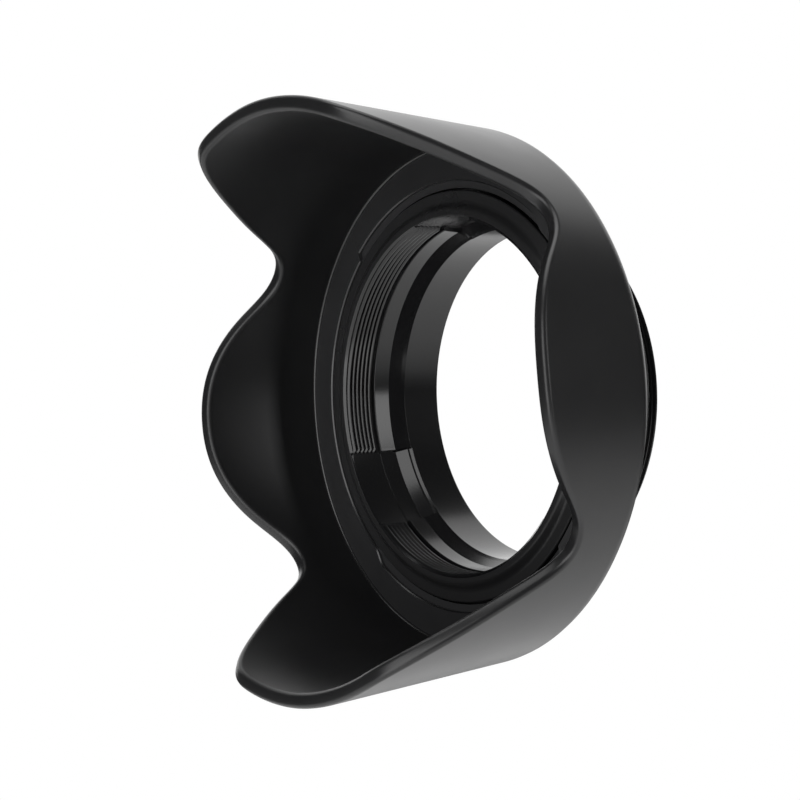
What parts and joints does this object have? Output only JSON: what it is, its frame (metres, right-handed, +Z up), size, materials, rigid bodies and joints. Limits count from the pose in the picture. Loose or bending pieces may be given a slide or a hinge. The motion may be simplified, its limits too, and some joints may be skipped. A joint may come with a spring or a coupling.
{
  "type": "petal lens hood",
  "caption": "Screw-in petal lens hood: a flared shell with long and short petals that twist-locks onto a mount ring with a rear male and a front female filter thread.",
  "frame": {"origin": "on the optical axis, in the plane of the mount ring's shoulder that seats on the front rim of the lens", "axes": "+Y along the optical axis towards the lens, so the mouth looks along -Y; +Z up through the middle of a long petal"},
  "size_m": [0.081, 0.0472, 0.0836],
  "materials": {
    "satin_black_shell": "satin black moulded plastic, soft sheen outside, very fine matte texture inside",
    "gloss_black_ring": "glossy black moulded plastic with sharp highlights on the thread turns"
  },
  "bodies": {
    "mount": {"mount_ring": "gloss_black_ring"},
    "hood": {"petal_shell": "satin_black_shell"}
  },
  "joints": [
    {"name": "hood_twist", "type": "hinge", "parent": "mount", "child": "hood", "pos_m": [0, 0, 0], "axis": [0, -1, 0], "range_deg": [0, 90]}
  ]
}
